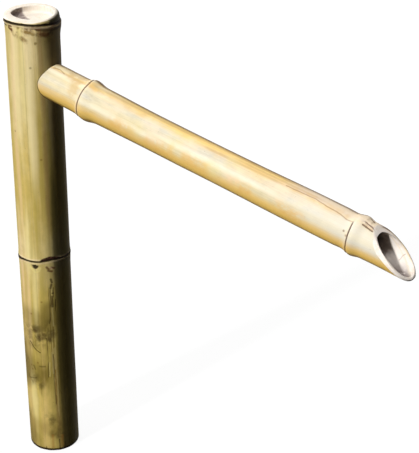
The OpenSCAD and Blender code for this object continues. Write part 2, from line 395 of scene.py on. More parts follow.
def shape_post(mesh):
    """Gives the turned post the grown shape of its skin, its off-centre cup and a hand-worked rim."""
    points, radius, angle, z = culm_points(mesh)
    skin = step(radius, 29.8, POST_R - 0.8)
    wanted = radius + skin * (post_skin(angle, z) - POST_R)
    cup = step(z, CUP_FLOOR_Z - 1.5, CUP_FLOOR_Z - 0.5) * span(radius, 6, 24, 29.4, 31.6)
    wanted += cup * (along(CUP_WALL, angle) - POST_IN_R)
    turn = np.radians(angle)
    # The rim was sawn a little out of true and rubbed round by hand
    rim = step(z, 650, POST_H) * step(radius, 24, 28.4)
    z = z + rim * (0.25 * np.cos(turn - 0.6) + 0.12 * np.cos(3 * turn + 1) - 0.3)
    # The cup's floor is the node's own wall, a little wavy
    floor = step(24 - radius, 0, 8) * step(z, CUP_FLOOR_Z - 2, CUP_FLOOR_Z - 1)
    z = z + floor * 0.35 * np.cos(points[:, 0] / 6 + 0.8) * np.cos(points[:, 1] / 8)
    # Frayed fibres at the sawn foot, which never reach below the ground
    foot = step(radius, 32, 34) * (1 - step(z, 0, 2.2))
    z = z + foot * 0.45 * (np.cos(37 * turn) * np.cos(23 * turn + 1) + 1) * 0.5
    points[:, :2] *= (wanted / np.maximum(radius, 1e-6))[:, None]
    points[:, 2] = z
    move_points(mesh, points)


def paint_post(mesh):
    points, radius, angle, z = culm_points(mesh)
    outside = step(radius, 30.5, 32.5)
    top = z - along(TOP_LINE, angle)
    mid = z - along(MID_LINE, angle)
    left = (1 - cosine(angle - RIGHT_SIDE)) / 2
    second = (1 - step(angle, -122, -106)) * band_line(top + 6, 1)
    thick = 1.35 + 1.1 * bump(turn_gap(angle, -126), 20)
    line = band_line(top + 0.9 * left, 1.5) + second + band_line(mid, thick)
    ridge = bump(top + 3.4, 1) + 0.9 * bump(mid + 2.6, 1) + 0.7 * span(mid, 1, 1.8, 2.8, 5)
    torn = torn_sheath(angle, z, 0, 0.5, -0.7, 0.5)
    ridge *= 1 - step(torn, 0, 0.5)
    inside = 1 - step(radius, POST_IN_R + 0.3, POST_IN_R + 1.2)
    in_chamber = inside * (z < CUP_FLOOR_Z - 1)
    bare = np.maximum(step(z - along(RIM_EDGE, angle), 0, 0.7), 1 - step(z, 0.1, 0.5))
    in_cup = step(POST_H - 0.6 - z, 0, 1.5) * (z > CUP_FLOOR_Z - 1) * (radius < 29)
    # Painted shadow: the cup's rim shades the floor and wall on the side towards the key lamp
    shaded = step(points[:, 0] * CUP_SHADE[0] + points[:, 1] * CUP_SHADE[1], 2.6, 5.2)
    eyes = np.maximum(in_eye(angle, z, POST_EYE), in_eye(angle, z, POST_BACK_EYE))
    paint(mesh, stain=in_cup * shaded, line=line * outside, ridge=ridge * outside, torn=torn * outside,
          eye=eyes * outside, bare=np.maximum(bare, 1 - outside) * (1 - in_chamber), inner=in_chamber)


def socket_cutter():
    """What the hole saw takes out of the post: a bar along the spout's axis from the seat outwards."""
    length = 80
    bm = bmesh.new()
    bmesh.ops.create_cone(bm, cap_ends=True, segments=200, radius1=SOCKET_R, radius2=SOCKET_R, depth=length)
    bmesh.ops.translate(bm, verts=bm.verts, vec=(0, 0, SEAT_S + length / 2))
    cutter = as_object("socket_cutter", bm)
    cutter.data.transform(Matrix.Scale(1 / MM, 4) @ SPOUT_PLACE @ Matrix.Scale(MM, 4))
    return cutter


def make_post():
    post = turned("post", post_outline(), closed=False)
    shape_post(post.data)
    cut_away(post, socket_cutter())
    paint_post(post.data)
    finish_form(post, Matrix.Identity(4))
    wear(post.data, post_bamboo())
    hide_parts("post_culm")
    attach(post, "post")


def spout_place():
    """The spout's own frame in the whole: X up, Y to the front, Z along the culm to the mouth."""
    front = Vector((0, -1, 0))
    up = front.cross(SPOUT_AXIS)
    turn = Matrix((up, front, SPOUT_AXIS)).transposed()
    return Matrix.Translation(SPOUT_FOOT) @ turn.to_4x4()


SPOUT_PLACE = spout_place()


def body_radius(s):
    """Radius of the spout between its swellings."""
    between = np.clip((s - NODE_1_S) / (NODE_2_S - NODE_1_S), 0, 1)
    waist = SPOUT_R - SPOUT_WAIST * np.sin(math.pi * between) ** 2
    return np.where(s > NODE_2_S, SPOUT_R + (MOUTH_R - SPOUT_R) * np.clip((s - NODE_2_S) / 20, 0, 1), waist)


# How far the spout bends, and how much its girth adds to its radius, by place along it
SPOUT_BEND = [(38, 0), (60, -0.25), (130, -0.5), (190, -0.75), (250, -0.75), (310, -0.4), (370, -0.2),
              (430, 0.4), (485, 0.75), (524, 0.45), (545, 0.2), (TIP_S, 0)]
SPOUT_GIRTH = [(100, 0), (130, 0), (160, -0.35), (190, -0.35), (250, 0.25), (310, 0.45), (400, 0.6),
               (440, 0.55), (475, 0.3), (485, -0.3), (499, 0.05), (515, 0.75), (526, 0.4), (545, 0)]
# The stub of the trimmed branch is two humps: degrees from the top, height, how its sides fall, and its ends
STUB_HUMPS = [
    (14, 0.8, (1.6, 3), (503, 507, 518.5, 519.5)),
    (-8, 1.1, (3, 6), (499, 506, 512, 514.5)),
]
# Slits in the stub: degrees from the top towards the front, and place along the spout
STUB_SLITS = [
    [(19.4, 505), (22.6, 519)],
    [(7, 505.5), (10.8, 515), (13.6, 521.5)],
    [(-20, 507), (-13, 513)],
]


def line_2_seen(angle):
    """The line of the second node is worn away along the top."""
    return np.where(abs(angle) > 130, 1, step(angle, 18, 34))


def spout_skin(angle, s):
    """Radius of the spout's skin at an angle from its top, positive to the front, with its slight bend."""
    free = step(s, 38, 58)
    wave = 0.1 * np.cos(np.radians(2 * angle) + s / 80) + 0.06 * np.cos(np.radians(5 * angle) - s / 120)
    radius = body_radius(s) + free * (at(SPOUT_GIRTH, s) + at(SPOUT_BEND, s) * cosine(angle + 40) + wave)

    lower = cosine(angle + 34)
    radius += 3.1 * swell(s, NODE_1_CREST - 4 * lower, 8.5 - 3.5 * lower, 10.5)
    past = s - along(NODE_1_LINE, angle)
    radius += 0.25 * bump(past + 2.4, 1.4) - 0.9 * bump(past, 0.75)

    radius += 2.55 * swell(s, NODE_2_CREST, 7, 8)
    past = s - along(NODE_2_LINE, angle)
    radius += (0.3 * bump(past + 2.2, 1.3) - 0.9 * bump(past, 0.75)) * (0.25 + 0.75 * line_2_seen(angle))

    for middle, height, sides, ends in STUB_HUMPS:
        radius += height * (1 - step(abs(aside(angle, middle, SPOUT_R)), *sides)) * span(s, *ends)
    return radius - 0.75 * grooves(angle, s, STUB_SLITS, SPOUT_R, 0.65)


# How far back the knife shaved the mouth's outer edge: degrees from the top towards the front, and length
SHAVED_EDGE = [(0, 0.5), (30, 0.9), (42, 2.4), (60, 7), (79, 10.5), (98, 9), (117, 8), (140, 7), (162, 5),
               (180, 4.5), (-150, 1.5), (-90, 0.6)]
SHAVE_DEPTH = 1.9
# Drying crack across the inside of the mouth, as (degrees, place) points
MOUTH_CRACK = [(-139, 550.6), (-130, 551.4), (-119, 551.6), (-109, 553.6)]


def spout_outline():
    """The spout's section, with its two node walls, as if its mouth were cut square at the tip."""
    skin_s = stations(RING_S + RING_W + 0.4, (78, 5), (80, 1), (116, 0.6), (482, 5.5), (484, 1), (524, 0.6),
                      (TIP_S - 0.6, 1.4))
    return (
        [(SPOUT_IN_R + 0.4, TAIL_S), (SPOUT_R - 0.7, TAIL_S)]
        + [(SPOUT_R - 0.2, TAIL_S + 0.2), (SPOUT_R, TAIL_S + 0.7)]
        + [(SPOUT_R, s) for s in stations(TAIL_S + 6, (RING_S, 6))]
        + [(RING_IN_R, RING_S), (RING_IN_R, RING_S + RING_W), (SPOUT_R, RING_S + RING_W)]
        + [(float(body_radius(s)), s) for s in skin_s]
        + [(MOUTH_R - 0.12, TIP_S - 0.18), (MOUTH_R - 0.5, TIP_S)]
        + [(r, TIP_S) for r in stations(MOUTH_R - 1, (MOUTH_IN_R + 0.5, 0.6))]
        + [(MOUTH_IN_R + 0.12, TIP_S - 0.18), (MOUTH_IN_R, TIP_S - 0.7)]
        + [(MOUTH_IN_R, s) for s in stations(TIP_S - 3, (NODE_2_S + 9, 3))]
        + node_wall(NODE_2_S, SPOUT_WALL, HOSE_HOLE_R, SPOUT_IN_R, MOUTH_IN_R, 3)[::-1]
        + [(SPOUT_IN_R, s) for s in stations(470, (110, 60))]
        + node_wall(NODE_1_S, SPOUT_WALL, HOSE_HOLE_R, SPOUT_IN_R, SPOUT_IN_R, 3)[::-1]
        + [(SPOUT_IN_R, s) for s in stations(70, (TAIL_S + 0.4, 10))]
    )


def mouth_cut(up, front):
    """Place along the spout of the oblique cut, which the knife left a little rounded."""
    flat = TIP_S - (MOUTH_R + up) / math.tan(MOUTH_ANGLE)
    return flat + MOUTH_BULGE * (1 - (up / MOUTH_R) ** 2) - MOUTH_TURN * front


def leaned(s, up, front):
    """Moves the last rings onto the oblique cut, those at the top further back than those below."""
    share = (s - LEAN_S) / (TIP_S - LEAN_S)
    return np.where(s > LEAN_S, LEAN_S + share * (mouth_cut(up, front) - LEAN_S), s)


def shape_spout(mesh):
    """Leans the turned spout's end onto its cut and gives it the grown shape of its skin."""
    points, radius, angle, s = culm_points(mesh)
    skin = step(radius, SPOUT_IN_R + 1, 21.6) * step(s, 30, 38)
    placed = leaned(s, points[:, 0], points[:, 1])
    wanted = radius + skin * (spout_skin(angle, placed) - body_radius(s))
    to_cut = placed - mouth_cut(points[:, 0], points[:, 1])
    shaved = step(to_cut, -along(SHAVED_EDGE, angle), 0.5)
    depth = SHAVE_DEPTH + 0.8 * bump(turn_gap(angle, 180), 35)
    wanted -= depth * shaved * step(radius, MOUTH_IN_R + 0.6, MOUTH_R - 0.3)
    # The bore is cut wider near the upper front of the mouth, and flares along its far side
    bore = 1 - step(radius, MOUTH_IN_R + 0.2, MOUTH_R - 1)
    wanted += 3.2 * bore * bump(turn_gap(angle, 48), 27) * step(placed, 504, 520)
    wanted += 2.8 * bore * bump(turn_gap(angle, -105), 58) * step(to_cut, -13, -0.5)
    points[:, :2] *= (wanted / radius)[:, None]
    points[:, 2] = leaned(s, points[:, 0], points[:, 1])
    # The knife left the cut a little hollow and its lip a little blunt
    end = step(s, TIP_S - 6, TIP_S)
    points[:, 2] -= end * (0.35 * np.cos(points[:, 0] / 9) + 0.15 * np.cos(points[:, 1] / 5 + 1))
    move_points(mesh, points)


def paint_spout(mesh):
    points, radius, angle, s = culm_points(mesh)
    outside = step(radius, 19.6, 21)
    first = s - along(NODE_1_LINE, angle)
    second = s - along(NODE_2_LINE, angle)
    line = band_line(first, 0.8) + band_line(second, 0.8) * line_2_seen(angle)
    ridge = span(first, -3.6, -2.9, -0.9, -0.5) + 0.5 * bump(first - 2, 1) + 0.6 * bump(second + 2.4, 1.4)
    to_cut = s - mouth_cut(points[:, 0], points[:, 1])
    shaved = along(SHAVED_EDGE, angle) - 0.5
    bare = np.maximum(step(to_cut, -shaved - 0.7, -shaved + 0.4), 1 - step(s, TAIL_S + 0.1, TAIL_S + 0.4))
    inside = (1 - step(radius, SPOUT_IN_R - 0.4, SPOUT_IN_R + 0.3)) * (1 - step(to_cut, -1.2, -0.7))
    far_edge = span(turn_gap(angle, -100), -84, -76, 62, 90)
    far_edge *= step(radius, MOUTH_R - 1.1, MOUTH_R - 0.6) * step(to_cut, -2, -1)
    bare *= 1 - far_edge
    # Painted shade inside the spout: along the lower front of the bore towards the mouth, and all round deep
    # inside near the second node
    stain = inside * step(s, 500, 520) * 1.25 * bump(turn_gap(angle, 150), 50)
    paint(mesh, stain=stain, line=np.maximum(line, far_edge) * outside, ridge=ridge * outside,
          bare=np.maximum(bare, 1 - outside) * (1 - inside), inner=inside,
          deep=inside * (1 - step(s, 503, 540)))


def slot_cutters():
    """The slot that straddles the hose elbow: open at the tail's end, round at the other, downwards."""
    reach = SPOUT_R + 3
    bm = bmesh.new()
    bmesh.ops.create_cone(bm, cap_ends=True, segments=96, radius1=SLOT_R, radius2=SLOT_R, depth=reach)
    bmesh.ops.rotate(bm, verts=bm.verts, cent=(0, 0, 0), matrix=Matrix.Rotation(math.pi / 2, 3, "Y"))
    bmesh.ops.translate(bm, verts=bm.verts, vec=(-reach / 2, 0, SLOT_S))
    yield as_object("slot_end_cutter", bm)
    length = SLOT_S - TAIL_S + 2
    bm = bmesh.new()
    bmesh.ops.create_cube(bm, size=1)
    bmesh.ops.scale(bm, verts=bm.verts, vec=(reach, 2 * SLOT_R, length))
    bmesh.ops.translate(bm, verts=bm.verts, vec=(-reach / 2, 0, SLOT_S - length / 2))
    yield as_object("slot_cutter", bm)


def make_spout():
    spout = turned("spout", spout_outline(), closed=True)
    shape_spout(spout.data)
    for cutter in slot_cutters():
        cut_away(spout, cutter)
    paint_spout(spout.data)
    finish_form(spout, SPOUT_PLACE)
    wear(spout.data, spout_bamboo())
    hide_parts("spout_culm")
    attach(spout, "spout")


# Wiring of materials

class Wiring:
    """Adds nodes to one tree. Inputs are numbers, colours as a screen shows them, or other nodes' outputs."""

    def __init__(self, tree):
        self.tree = tree

    def feed(self, sockets, inputs):
        for key, value in dict(inputs).items():
            if isinstance(value, bpy.types.NodeSocket):
                self.tree.links.new(value, sockets[key])
            elif sockets[key].type == "RGBA" and len(value) == 3:
                sockets[key].default_value = screen_color(value)
            else:
                sockets[key].default_value = value

    def add(self, kind, inputs=(), **settings):
        node = self.tree.nodes.new("ShaderNode" + kind)
        for key, value in settings.items():
            setattr(node, key, value)
        self.feed(node.inputs, inputs)
        return node

    def first(self, kind, inputs=(), **settings):
        """A new node's first output."""
        return self.add(kind, inputs, **settings).outputs[0]

    def math(self, operation, *values):
        return self.first("Math", enumerate(values), operation=operation)

    def times(self, value, factor, plus=None):
        """A product, and what is added to it."""
        if plus is None:
            return self.math("MULTIPLY", value, factor)
        return self.math("MULTIPLY_ADD", value, factor, plus)

    def fade(self, value, start, end):
        """0 at start, 1 at end, smooth between."""
        return self.first("MapRange", {"Value": value, "From Min": start, "From Max": end},
                          interpolation_type="SMOOTHSTEP")

    def vector(self, operation, *values):
        node = self.add("VectorMath", enumerate(values), operation=operation)
        return node.outputs["Value" if operation in ("LENGTH", "DOT_PRODUCT") else "Vector"]

    def split(self, vector):
        return self.add("SeparateXYZ", {0: vector}).outputs

    def mix(self, amount, first, second, blend="MIX"):
        node = self.add("Mix", {0: amount, 6: first, 7: second}, data_type="RGBA", blend_type=blend)
        return node.outputs[2]

    def tint(self, color, mask, strength, tint):
        return self.mix(self.times(mask, strength), color, tint)

    def noise(self, place, stretch, detail=2.0, rough=0.5, warp=0.0):
        """Noise whose features have the sizes that stretch gives, in millimetres."""
        return self.add("TexNoise", {"Vector": self.vector("DIVIDE", place, stretch), "Scale": 1.0,
                                     "Detail": detail, "Roughness": rough, "Distortion": warp}).outputs["Fac"]

    def patches(self, place, stretch, detail, rough, start, end):
        """Noise faded between two of its levels."""
        return self.fade(self.noise(place, stretch, detail, rough), start, end)

    def tones(self, value, length, stops):
        """A smooth curve through (place, tone) stops along a length."""
        ramp = self.add("ValToRGB", {"Fac": self.math("DIVIDE", value, length)})
        ramp.color_ramp.interpolation = "B_SPLINE"
        elements = ramp.color_ramp.elements
        while len(elements) < len(stops):
            elements.new(0.5)
        for element, (place, tone) in zip(elements, stops):
            element.position = place / length
            element.color = (tone, tone, tone, 1)
        return ramp.outputs["Color"]

    def attribute(self, name):
        return self.add("Attribute", attribute_name=name).outputs["Fac"]

    def object_mm(self, to_piece=Matrix.Identity(4)):
        """The place on a piece in millimetres, turned into the piece's own frame."""
        return self.first("Mapping", {
            "Vector": self.add("TexCoord").outputs["Object"], "Location": to_piece.to_translation() / MM,
            "Rotation": to_piece.to_euler(), "Scale": (1 / MM,) * 3})

    def uneven(self, height, strength, depth):
        """A surface normal for unevenness of a depth in millimetres."""
        return self.first("Bump", {"Height": height, "Strength": strength, "Distance": depth * MM})

    def group(self, tree, inputs):
        return self.add("Group", inputs, node_tree=tree).outputs

    def give_out(self, values):
        """Ends a node group."""
        self.feed(self.tree.nodes.new("NodeGroupOutput").inputs, values)
        return self.tree


def new_group(name, inputs, outputs):
    """The wiring of an empty node group, and what it is given."""
    tree = bpy.data.node_groups.new(name, "ShaderNodeTree")
    for in_out, sockets in ("INPUT", inputs), ("OUTPUT", outputs):
        for label, kind in sockets.items():
            tree.interface.new_socket(label, in_out=in_out, socket_type="NodeSocket" + kind)
    return Wiring(tree), tree.nodes.new("NodeGroupInput").outputs


def fresh_wiring(owner):
    """Empties the nodes of a material or world."""
    owner.use_nodes = True
    owner.node_tree.nodes.clear()
    return Wiring(owner.node_tree)


def culm_place_group():
    """Unrolls a culm: X is millimetres round it, Y millimetres along it."""
    wiring, given = new_group("culm_place", {"Vector": "Vector", "Radius": "Float"}, {"Place": "Vector"})
    xyz = wiring.split(given["Vector"])
    around = wiring.times(wiring.math("ARCTAN2", xyz["Y"], xyz["X"]), given["Radius"])
    shaky = wiring.math("SUBTRACT", wiring.noise(given["Vector"], (5, 5, 9)), 0.5)
    place = {"X": wiring.times(shaky, 1.6, around), "Y": wiring.times(shaky, 1.2, xyz["Z"])}
    return wiring.give_out({"Place": wiring.first("CombineXYZ", place)})


def mark_group():
    """1 on a straight stretch between two places, falling to 0 beside it."""
    wiring, given = new_group(
        "mark", {"Place": "Vector", "From": "Vector", "To": "Vector", "Half Width": "Float", "Edge": "Float"},
        {"Mask": "Float"})
    gone = wiring.vector("SUBTRACT", given["Place"], given["From"])
    whole = wiring.vector("SUBTRACT", given["To"], given["From"])
    share = wiring.math("DIVIDE", wiring.vector("DOT_PRODUCT", gone, whole),
                        wiring.vector("DOT_PRODUCT", whole, whole))
    share = wiring.first("Clamp", {"Value": share})
    foot = wiring.first("VectorMath", {0: whole, "Scale": share}, operation="SCALE")
    away = wiring.vector("LENGTH", wiring.vector("SUBTRACT", gone, foot))
    outer = wiring.math("ADD", given["Half Width"], given["Edge"])
    return wiring.give_out({"Mask": wiring.fade(away, outer, given["Half Width"])})


def bamboo_skin_group():
    """Cured bamboo skin: long streaks, fine fibres, soft blotches and dark specks."""
    wiring, given = new_group(
        "bamboo_skin",
        {"Vector": "Vector", "Paleness": "Float", "Streaky": "Float", "Pale": "Color", "Straw": "Color",
         "Deep": "Color", "Olive": "Color", "Tan": "Color"},
        {"Color": "Color", "Roughness": "Float", "Height": "Float"})
    place = given["Vector"]
    broad = wiring.noise(place, (19, 19, 420), 2, 0.55)
    streaks = wiring.noise(place, (5, 5, 150), 3, 0.6)
    fibres = wiring.noise(place, (0.9, 0.9, 60), 2, 0.6)
    blotches = wiring.noise(place, (34, 34, 55), 3, 0.55, 0.4)
    pale = wiring.times(wiring.math("SUBTRACT", blotches, 0.5), 0.9, given["Paleness"])
    pale = wiring.times(wiring.math("SUBTRACT", streaks, 0.5), given["Streaky"], pale)
    color = wiring.mix(wiring.fade(pale, 0, 0.5), given["Deep"], given["Straw"])
    color = wiring.mix(wiring.fade(pale, 0.5, 1), color, given["Pale"])
    color = wiring.tint(color, wiring.fade(broad, 0.47, 0.64), 0.5, given["Olive"])
    color = wiring.tint(color, wiring.fade(broad, 0.47, 0.34), 0.3, given["Tan"])
    color = wiring.tint(color, wiring.fade(fibres, 0.42, 0.72), 0.2, (150, 124, 70))
    mottled = wiring.times(wiring.noise(place, (8, 8, 15), 3, 0.65), 0.36, 0.82)
    color = wiring.mix(1.0, color, mottled, "MULTIPLY")
    specks = wiring.patches(place, (1.7, 1.7, 3.2), 1, 0.5, 0.73, 0.8)
    return wiring.give_out({
        "Color": wiring.tint(color, specks, 0.5, (104, 78, 40)),
        "Roughness": wiring.times(blotches, 0.1, wiring.times(streaks, 0.16, 0.42)),
        "Height": wiring.times(streaks, 0.6, wiring.times(fibres, 0.4))})


def bare_bamboo_group():
    """Sawn or whittled bamboo: pale wood with the darker ends of its fibre bundles."""
    wiring, given = new_group("bare_bamboo", {"Vector": "Vector", "Wood": "Color", "Bundle": "Color"},
                              {"Color": "Color", "Height": "Float"})
    place = given["Vector"]
    bundles = wiring.noise(place, (0.75, 0.75, 9), 1)
    worn = wiring.patches(place, (7, 7, 9), 3, 0.6, 0.45, 0.75)
    color = wiring.tint(given["Wood"], worn, 0.4, (226, 200, 170))
    color = wiring.tint(color, wiring.fade(bundles, 0.55, 0.72), 0.5, given["Bundle"])
    return wiring.give_out({"Color": color, "Height": bundles})


PLACE_GROUP = culm_place_group()
MARK_GROUP = mark_group()
SKIN_GROUP = bamboo_skin_group()
BARE_GROUP = bare_bamboo_group()


def new_material(name, plain=()):
    """A material with its shader; plain values go straight to the shader's sockets."""
    material = bpy.data.materials.new(name)
    wiring = fresh_wiring(material)
    shader = wiring.add("BsdfPrincipled", plain)
    wiring.add("OutputMaterial", {"Surface": shader.outputs[0]})
    return material, wiring, shader.inputs


# How much longer than wide the soft ends of a streak are
STREAK_STRETCH = 14


class Culm(Wiring):
    """The wiring of a culm's material, with what both culms share."""

    def __init__(self, name, radius, to_culm, shine):
        self.material, wiring, self.shader = new_material(name, {"Specular IOR Level": shine})
        super().__init__(wiring.tree)
        self.radius = radius
        self.mm = self.object_mm(to_culm)
        self.along = self.split(self.mm)["Z"]
        self.place = self.group(PLACE_GROUP, {"Vector": self.mm, "Radius": radius})["Place"]
        self.around = self.split(self.place)["X"]
        self.squeezed = self.vector("DIVIDE", self.place, (1, STREAK_STRETCH, 1))
        self.patchy = self.patches(self.mm, (9, 9, 12), 3, 0.6, 0.3, 0.66)

    def marks(self, chains, half_width, edge, squeeze=1):
        """One mask of all the chains of (degrees, place) points; a chain of one point is a spot."""
        place = self.place if squeeze == 1 else self.squeezed
        mask = 0.0
        for chain in chains:
            flat = flat_chain([(a, s / squeeze) for a, s in chain], self.radius)
            for start, end in zip(flat, flat[1:] or flat):
                stretch = self.group(MARK_GROUP, {"Place": place, "From": (*start, 0), "To": (*end, 0),
                                                  "Half Width": half_width, "Edge": edge})
                mask = self.math("MAXIMUM", mask, stretch["Mask"])
        return mask

    def draw(self, color, streaks, stains, marks):
        """Draws streaks that fade out slowly at their ends, stains worn away in patches, and plain marks."""
        for chains, half_width, edge, strength, tint in streaks:
            color = self.tint(color, self.marks(chains, half_width, edge, STREAK_STRETCH), strength, tint)
        for chains, half_width, edge, strength, tint in stains:
            worn = self.times(self.marks(chains, half_width, edge), self.patchy)
            color = self.tint(color, worn, strength, tint)
        for chains, half_width, edge, strength, tint in marks:
            color = self.tint(color, self.marks(chains, half_width, edge), strength, tint)
        return color

    def finish(self, skin, color, grooves, line, wood, bundle, lining, depth, inner_crack=0.0):
        """Adds lines, ridges, cut wood, the inside and the painted shade in hollows, and joins all to the
        shader.
        """
        color = self.tint(color, self.attribute("ridge"), 0.6, RIDGE)
        color = self.tint(color, self.attribute("line"), 0.97, line)
        bare = self.group(BARE_GROUP, {"Vector": self.mm, "Wood": wood, "Bundle": bundle})
        bare_mask = self.attribute("bare")
        inner = self.attribute("inner")
        color = self.mix(bare_mask, color, bare["Color"])
        lining = self.tint(lining, self.noise(self.mm, (3, 3, 30), 3, 0.6), 0.3, LINING)
        # Painted shade deep inside the hollow: the lining turns to the depth colour
        lining = self.mix(self.attribute("deep"), lining, depth)
        color = self.mix(inner, color, lining)
        worn = self.patches(self.mm, (6, 6, 6), 3, 0.6, 0.1, 0.5)
        # Painted shade in hollows: the rim's shadow in the cup and the shade in the spout's channel, broken
        # up in patches
        color = self.tint(color, self.times(self.attribute("stain"), worn), 0.85, HOLLOW_SHADE_PAINT)
        color = self.tint(color, inner_crack, 0.35, BROWN)
        dull = self.math("MAXIMUM", self.times(bare_mask, 0.62), self.times(inner, 0.7))
        height = self.math("SUBTRACT", skin["Height"], self.times(grooves, 1.5))
        height = self.times(bare["Height"], self.times(bare_mask, 0.8), height)
        self.feed(self.shader, {
            "Base Color": color, "Roughness": self.math("MAXIMUM", skin["Roughness"], dull),
            "Normal": self.uneven(height, 0.35, 0.35)})
        return self.material


# Colours with a name, each as a screen shows it, from 0 to 255
RIDGE = (238, 214, 174)
LINE = (24, 12, 7)
CRACK = (60, 44, 18)
# Colour of the painted shade in hollows
HOLLOW_SHADE_PAINT = (112, 93, 90)
BROWN = (112, 72, 36)
SMOKE = (84, 70, 36)
LINING = (214, 194, 166)

# How bleached the post is, as (height, share)
POST_TONES = [(0, 0.26), (30, 0.22), (56, 0.34), (82, 0.62), (100, 0.4), (118, 0.14), (140, 0.1),
              (165, 0.3), (200, 0.3), (240, 0.5), (285, 0.68), (325, 0.95), (350, 0.8), (400, 0.5),
              (450, 0.56), (520, 0.8), (590, 0.98), (645, 1)]
# Painted shade round the post, as (degrees, tone): the skin darker on the side away from the key lamp
POST_SIDE_SHADE = [(-180, 0.85), (-135, 0.8), (-112, 0.88), (-88, 0.94), (-62, 1), (-42, 0.98), (-30, 0.66),
              (-18, 0.42), (8, 0.3), (40, 0.34), (80, 0.8), (180, 0.85)]
# Marks on the post's skin, in three tables that Culm.draw draws: chains of (degrees, height) points,
# half width, soft edge, strength and colour
POST_STREAKS = [
    ([[(-94, 630), (-98, 590), (-100, 540)], [(-102, 470), (-99, 410)], [(-112, 335), (-110, 280)],
      [(-92, 250), (-94, 215)], [(120, 560), (116, 430)], [(-170, 520), (-168, 380)], [(78, 300),
      (80, 200)]], 0.5, 5, 0.4, (236, 204, 160)),
    ([[(-46, 540), (-45, 440)], [(-61, 410), (-60, 360)], [(-76, 370), (-77, 340)], [(-56, 280),
      (-57, 240)], [(-120, 600), (-121, 540)], [(140, 460), (143, 330)]], 1, 5, 0.5, (180, 158, 74)),
    ([[(-71, 630), (-73, 560)], [(-62, 550), (-63, 470)], [(-84, 345), (-86, 325)], [(-72, 285),
      (-75, 240)], [(-98, 92), (-90, 78)]], 0.5, 5, 0.5, (242, 226, 160)),
    ([[(-34, 620), (-32, 560)], [(-33, 480), (-34, 400)], [(-36, 120), (-35, 60)]], 1, 4, 0.4,
      (140, 104, 66)),
    ([[(-43, 260), (-43, 150)], [(-38, 240), (-38, 90)]], 0.2, 1.1, 0.6, (132, 104, 44)),
    ([[(-40.5, 250), (-40.5, 120)], [(-34, 200), (-34, 70)]], 0.2, 1, 0.5, (226, 204, 130)),
    ([[(-88, 635), (-89, 560)], [(-58, 625), (-57, 500)]], 2, 6, 0.5, (250, 232, 180)),
    # Painted shade down the side away from the key lamp
    ([[(-20, 370), (-20, 45)]], 2.6, 5, 0.6, (30, 28, 14)),
]
POST_STAINS = [
    ([[(-98, 196), (-45, 205)], [(-92, 182), (-60, 186)], [(150, 260), (140, 200)], [(100, 90), (112, 70)]],
      4, 14, 0.6, SMOKE),
    ([[(-84, 204), (-76, 204)], [(-70, 190), (-50, 192)], [(-45, 213), (-41, 190)], [(-118, 150),
      (-108, 128)]], 2, 8, 0.7, SMOKE),
    ([[(-122, 118), (-104, 116), (-86, 122), (-76, 112)], [(-54, 57), (-36, 38)], [(-46, 30), (-26, 24)]],
      2.5, 10, 0.7, SMOKE),
    ([[(-60, 647), (-40, 645)], [(-36, 641), (-10, 637)]], 2, 4, 0.9, (88, 52, 28)),
    ([[(-66, 645), (-58, 641)], [(-90, 641), (-84, 636)], [(-70, 634), (-62, 630)]], 1, 4, 0.8,
      (140, 104, 46)),
]
